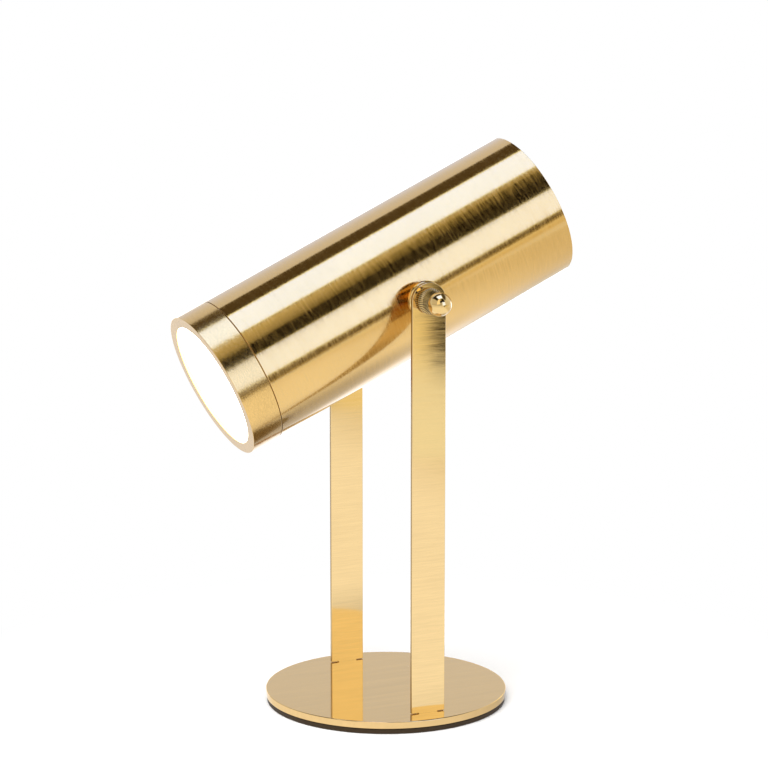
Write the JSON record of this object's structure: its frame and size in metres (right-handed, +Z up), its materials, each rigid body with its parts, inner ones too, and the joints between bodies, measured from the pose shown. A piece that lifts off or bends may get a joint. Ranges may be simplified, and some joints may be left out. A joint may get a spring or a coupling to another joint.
{
  "type": "tabletop searchlight lamp",
  "caption": "Brass tabletop searchlight: a long tube with an opal front tilts between flat uprights on a round disc base, clamped by toothed ball knobs.",
  "frame": {"origin": "centre of the base pad's underside", "axes": "+Z up; the tilt axis runs along Y with the front upright at -Y; at rest the light points to -X and down"},
  "size_m": [0.2166, 0.1438, 0.3011],
  "materials": {
    "black_rubber": "matt black rubber",
    "brass_disc": "finely brushed",
    "brass_strip": "finely brushed",
    "brass_tube": "brushed round the tube",
    "brass_satin": "satin",
    "brass_polished": "polished",
    "zinc_steel": "zinc plated",
    "aluminium": "plain milled",
    "opal_acrylic": "opal, lit from behind",
    "white_plastic": "matt white",
    "driver_plastic": "moulded white plastic",
    "black_plastic": "moulded black nylon",
    "red_wire": "insulated wire"
  },
  "bodies": {
    "base": {"base_pad": "black_rubber", "base_disc": "brass_disc", "upright_front": "brass_strip", "upright_rear": "brass_strip", "foot_screw_1": "zinc_steel", "foot_screw_2": "zinc_steel", "foot_screw_3": "zinc_steel", "foot_screw_4": "zinc_steel"},
    "head": {"head_tube": "brass_tube", "front_bezel": "brass_satin", "diffuser": "opal_acrylic", "diffuser_clip": "zinc_steel", "reflector": "white_plastic", "led_board": "white_plastic", "board_screw_1": "zinc_steel", "board_screw_2": "zinc_steel", "board_screw_3": "zinc_steel", "heat_sink": "aluminium", "chassis_plate": "zinc_steel", "chassis_screw_1": "zinc_steel", "chassis_screw_2": "zinc_steel", "driver": "driver_plastic", "driver_screw_1": "zinc_steel", "driver_screw_2": "zinc_steel", "mains_lead": "black_plastic", "board_lead": "red_wire", "rear_cap": "brass_satin", "cap_screw_1": "zinc_steel", "cap_screw_2": "zinc_steel", "cable_gland": "black_plastic", "gland_nut": "black_plastic", "pivot_stud_front": "zinc_steel", "pivot_stud_rear": "zinc_steel", "stud_nut_front": "zinc_steel", "stud_nut_rear": "zinc_steel", "pivot_boss_front": "brass_polished", "pivot_boss_rear": "brass_polished", "pivot_washer_front": "brass_polished", "pivot_washer_rear": "brass_polished"},
    "knob_front": {"knob_front": "brass_polished"},
    "knob_rear": {"knob_rear": "brass_polished"}
  },
  "joints": [
    {"name": "head_tilt", "type": "hinge", "parent": "base", "child": "head", "pos_m": [0, 0, 0.226], "axis": [0, 1, 0], "range_deg": [-65, 115]},
    {"name": "knob_front_turn", "type": "hinge", "parent": "head", "child": "knob_front", "pos_m": [0, -0.0537, 0.226], "axis": [0, -1, 0], "range_deg": [0, 360]},
    {"name": "knob_rear_turn", "type": "hinge", "parent": "head", "child": "knob_rear", "pos_m": [0, 0.0537, 0.226], "axis": [0, 1, 0], "range_deg": [0, 360]}
  ]
}
